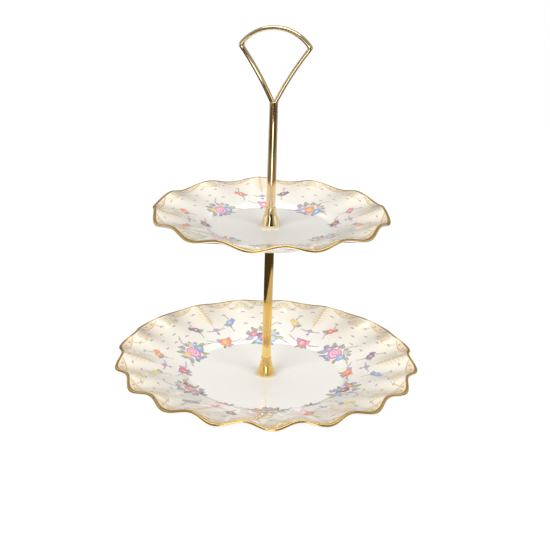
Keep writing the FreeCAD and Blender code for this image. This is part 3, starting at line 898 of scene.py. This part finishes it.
def threaded(name, pitch, depth, body, cad_node):
    """A rod with a helical thread cut into it, as long and as thick as its CAD node."""
    count, per_turn = 24, 6
    runout, runout_depth, axis_r = 0.6, 0.35, 0.02
    low, high = (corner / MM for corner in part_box(cad_node))
    outer = (high.x - low.x) / 2
    angles = np.linspace(0, 2 * math.pi, count, endpoint=False)
    middle = np.zeros_like(angles) + axis_r
    rings = [(middle, low.z)]
    for z in np.arange(low.z, high.z - 1e-6, pitch / per_turn):
        phase = np.mod(z / pitch - angles / (2 * math.pi), 1.0)
        groove = 1 - np.abs(2 * phase - 1)
        end = min(1.0, (z - low.z) / runout, (high.z - z) / runout)
        rings.append((outer - depth * groove - runout_depth * (1 - end), z))
    rings += [(rings[-1][0], high.z), (middle, high.z)]
    skinned(name, [[(*polar(r, a), z) for r, a in zip(ring, angles)] for ring, z in rings],
            ZINC, body, cad_node, 30)


threaded("spacer_stud_threaded", 0.8, 0.45, "column", "spacer_stud")


def fan_loop(name, body, cad_node):
    """The carrying loop: a band with round front and back beads, bent into a fan."""
    half_w, corner_drop, neck_half_w = 31.0, 16.5, 3.3
    band, depth, bow, start_z = 3.3, 6.0, 1.3, STEM_TOP_Z - 0.6
    around, arm_steps, top_steps = 28, 33, 25
    arc_r = (half_w ** 2 + corner_drop ** 2) / (2 * corner_drop)
    arc_centre = np.array((0.0, LOOP_TOP_Z - arc_r))
    corner = np.array((half_w, LOOP_TOP_Z - corner_drop))
    neck = np.array((neck_half_w, STEM_TOP_Z))
    chord = corner - neck
    length = np.linalg.norm(chord)
    arm_r = (length ** 2 / 4 + bow ** 2) / (2 * bow)
    outward = np.array((chord[1], -chord[0])) / length
    arm_centre = (corner + neck) / 2 + outward * (arm_r - bow)

    def outline(inset):
        """Points up the right arm, over the top and down the left, inset from the outer edge."""
        top_r, side_r = arc_r - inset, arm_r + inset
        gap = np.linalg.norm(arm_centre - arc_centre)
        along = (gap ** 2 + top_r ** 2 - side_r ** 2) / (2 * gap)
        across = math.sqrt(top_r ** 2 - along ** 2)
        toward = (arm_centre - arc_centre) / gap
        meet = arc_centre + toward * along + np.array((-toward[1], toward[0])) * across
        start_x = arm_centre[0] - math.sqrt(side_r ** 2 - (start_z - arm_centre[1]) ** 2)
        a0, a1 = (math.atan2(*(p - arm_centre)[::-1]) % (2 * math.pi)
                  for p in (np.array((start_x, start_z)), meet))
        b0 = math.atan2(*(meet - arc_centre)[::-1])
        arm = [arm_centre + side_r * np.array(polar(1, a)) for a in np.linspace(a0, a1, arm_steps)]
        top = [arc_centre + top_r * np.array(polar(1, b))
               for b in np.linspace(b0, math.pi / 2, top_steps)]
        points = np.array(arm + top[1:])
        turn = len(arm) - 1
        for _ in range(2):      # rounds the corner
            near = slice(turn - 1, turn + 2)
            points[near] = (points[turn - 2:turn + 1] + 2 * points[near]
                            + points[turn:turn + 3]) / 4
        return np.concatenate([points, (points * (-1, 1))[::-1][1:]])

    section = []
    for k in range(around):
        a = 2 * math.pi * k / around
        flat = (depth - band) / 2 * (1 if math.sin(a) > 0 else -1)
        section.append((band / 2 * (1 - math.cos(a)), band / 2 * math.sin(a) + flat))
    lines = [outline(inset) for inset, _ in section]
    rings = [[(line[j][0], y, line[j][1]) for line, (_, y) in zip(lines, section)]
             for j in range(len(lines[0]))]
    skinned(name, rings, PALE_GOLD, body, cad_node, 50)


fan_loop("handle_loop_gold", "handle", "handle_loop")

for name, material in (("lower_seat_washer", SOFT), ("base_soft_washer", SOFT),
                       ("upper_under_washer", SOFT), ("upper_seat_washer", SOFT),
                       ("lower_threaded_bush", ZINC), ("upper_threaded_bush", ZINC),
                       ("handle_threaded_bush", ZINC), ("base_metal_washer", ZINC),
                       ("upper_support_disc", RICH_GOLD), ("base_screw", ZINC)):
    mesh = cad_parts[name].data
    mesh.materials.clear()
    mesh.materials.append(material)

# ======== stage, light and camera (in metres) ========
# the handle's width stands 11 degrees off square to the view
VIEW_TURN = math.radians(11)
CAMERA_SIDE = VIEW_TURN - math.pi / 2
VIEW_DISTANCE, VIEW_HEIGHT, VIEW_PITCH, VIEW_ROLL = 0.878, 0.4335, 0.358, 0.030
LENS_MM, SENSOR_MM, SHIFT_X, SHIFT_Y = 70.4, 36, 0.0114, -0.0018
FLOOR_SIZE, DAYLIGHT, DAYLIGHT_STRENGTH = 6.0, (1.0, 0.98, 0.95, 1), 0.56
WHITE = (1, 1, 1)


def seen_only(obj, camera=False, diffuse=False, glossy=False):
    """A stage object that only some rays meet, as a photographer's card or flag would be."""
    obj.visible_camera, obj.visible_diffuse, obj.visible_glossy = camera, diffuse, glossy
    obj.visible_transmission = obj.visible_volume_scatter = obj.visible_shadow = False
    obj.data.materials[0].cycles.emission_sampling = "NONE"


def glowing(name, colour, strength, matt=0.0):
    """A material that glows; matt is how much light it gives back on top of that."""
    return shader(name, Roughness=0.9, Emission_Strength=strength,
                  Emission_Color=(*colour, 1), Base_Color=(matt, matt, matt, 1),
                  Specular_IOR_Level=0.0)[0]


def card(name, azimuth_deg, distance, width_deg, low_z, high_z, colour, strength, rise=0.0):
    """An upright curved card round the axis, seen in reflections only.

    Azimuth 0 is the camera's side; its right end is rise higher than its left.
    """
    middle = CAMERA_SIDE + math.radians(azimuth_deg)
    verts, steps = [], 12
    for k in range(steps + 1):
        at = polar(distance, middle + math.radians(width_deg) * (k / steps - 0.5))
        lift = rise * (k / steps - 0.5)
        verts += [(*at, low_z + lift), (*at, high_z + lift)]
    faces = [(2 * k, 2 * k + 1, 2 * k + 3, 2 * k + 2) for k in range(steps)]
    material = glowing(name + "_card", colour, strength)
    seen_only(new_object(name, verts, faces, material), glossy=True)


def round_stage(name, rings, count, colour, strength):
    """A glowing surface of revolution through rings of (radius, height)."""
    verts = [(*polar(r, 2 * math.pi * k / count), z) for r, z in rings for k in range(count)]
    return new_object(name, verts, ring_faces(len(rings), count),
                      glowing(name + "_tone", colour, strength))


def disc(name, inner, outer, z, colour, strength):
    return round_stage(name, ((inner, z), (outer, z)), 64, colour, strength)


def dome(name, radius, low_deg, colour, strength):
    """A dome from low_deg over the horizon to the top."""
    rings = [(radius * math.cos(e), radius * math.sin(e))
             for e in np.radians(np.linspace(low_deg, 89.9, 20))]
    return round_stage(name, rings, 48, colour, strength)


def softbox(name, azimuth, power):
    """A large soft lamp aimed at the object; its azimuth is in radians from the camera's side."""
    light = bpy.data.lights.new(name, "AREA")
    light.shape, light.size, light.size_y = "RECTANGLE", 1.1, 0.8
    light.energy, light.color = power, (1.0, 0.99, 0.975)
    obj = bpy.data.objects.new(name, light)
    scene.collection.objects.link(obj)
    where = Vector((*polar(1.5, CAMERA_SIDE + azimuth), 0.92))
    obj.location = where
    obj.rotation_euler = (Vector((0, 0, 0.08)) - where).to_track_quat("-Z", "Y").to_euler()
    obj.visible_glossy = False


scene = bpy.context.scene
scene.view_settings.view_transform = "Standard"
world = bpy.data.worlds.new("studio")
scene.world = world
world.use_nodes = True
world.node_tree.nodes["Background"].inputs["Color"].default_value = DAYLIGHT
world.node_tree.nodes["Background"].inputs["Strength"].default_value = DAYLIGHT_STRENGTH

for name, z, material, rays in (
        ("floor_shown", 0, glowing("floor_white", WHITE, 0.92, 0.14), {"camera": True}),
        ("floor_lit", -0.0005, glowing("floor_bounce", (1, 0.97, 0.93), 0.0, 0.55),
         {"diffuse": True})):
    corners = [(x * FLOOR_SIZE, y * FLOOR_SIZE, z) for x, y in ((-1, -1), (1, -1), (1, 1), (-1, 1))]
    seen_only(new_object(name, corners, [(0, 1, 2, 3)], material), **rays)
seen_only(dome("backdrop", 9.0, -20, WHITE, 1.05), camera=True)
seen_only(dome("room", 7.0, 0, (1.0, 0.92, 0.80), 0.36), glossy=True)
for name, low, high, z, colour, strength in (
        ("overhead_panel", 0.001, 0.62, 1.30, WHITE, 2.5),
        ("under_table", 0.0, 0.16, 0.0004, (0.60, 0.56, 0.50), 1.0),
        ("dark_table", 0.16, 0.60, 0.0004, (0.06, 0.045, 0.03), 1.0),
        ("mid_table", 0.60, 1.10, 0.0004, (0.22, 0.16, 0.10), 1.0),
        ("far_table", 1.10, 3.0, 0.0004, (0.11, 0.075, 0.045), 1.0),
        ("room_floor", 3.0, 6.9, 0.0004, (0.30, 0.24, 0.17), 1.0)):
    seen_only(disc(name, low, high, z, colour, strength), glossy=True)
near = disc("near_table", 0.001, 0.25, 0.0009, (0.62, 0.58, 0.52), 1.0)
near.location = (*polar(0.055, VIEW_TURN), 0)
seen_only(near, glossy=True)
for row in (("front_strip", 0, 0.50, 24, 0.005, 0.176, (1.0, 0.98, 0.94), 2.6),
            ("right_arm_strip", -12.5, 0.495, 22, 0.152, 0.180, (1.0, 0.90, 0.74), 1.0, -0.10),
            ("left_arm_strip", 0.7, 0.49, 44, 0.306, 0.352, (1.0, 0.96, 0.86), 2.8, 0.21),
            ("camera_side", 0, 0.52, 66, 0.19, 0.60, (0.05, 0.04, 0.03), 1.0),
            ("left_panel", -90, 0.62, 70, 0.19, 0.33, (1.0, 0.97, 0.90), 1.0),
            ("right_panel", 90, 0.62, 60, 0.19, 0.33, (1.0, 0.97, 0.90), 1.0),
            ("left_strip", -125, 0.60, 30, 0.02, 0.35, (1.0, 0.96, 0.9), 0.7),
            ("right_strip", 118, 0.60, 24, 0.02, 0.35, (1.0, 0.96, 0.9), 0.6)):
    card(*row)
softbox("key_softbox", -0.60, 22)
softbox("fill_softbox", 0.75, 17)

camera_data = bpy.data.cameras.new("camera")
camera_data.lens, camera_data.sensor_width = LENS_MM, SENSOR_MM
camera_data.shift_x, camera_data.shift_y = SHIFT_X, SHIFT_Y
camera_data.clip_end = 50
camera = bpy.data.objects.new("camera", camera_data)
scene.collection.objects.link(camera)
forward = Vector((-math.sin(VIEW_TURN) * math.cos(VIEW_PITCH),
                     math.cos(VIEW_TURN) * math.cos(VIEW_PITCH), -math.sin(VIEW_PITCH)))
right = Vector((math.cos(VIEW_TURN), math.sin(VIEW_TURN), 0))
up = right.cross(forward)
right_rolled = right * math.cos(VIEW_ROLL) + up * math.sin(VIEW_ROLL)
up_rolled = up * math.cos(VIEW_ROLL) - right * math.sin(VIEW_ROLL)
camera.matrix_world = Matrix((
    (right_rolled.x, up_rolled.x, -forward.x, VIEW_DISTANCE * math.sin(VIEW_TURN)),
    (right_rolled.y, up_rolled.y, -forward.y, -VIEW_DISTANCE * math.cos(VIEW_TURN)),
    (right_rolled.z, up_rolled.z, -forward.z, VIEW_HEIGHT),
    (0, 0, 0, 1)))
scene.camera = camera
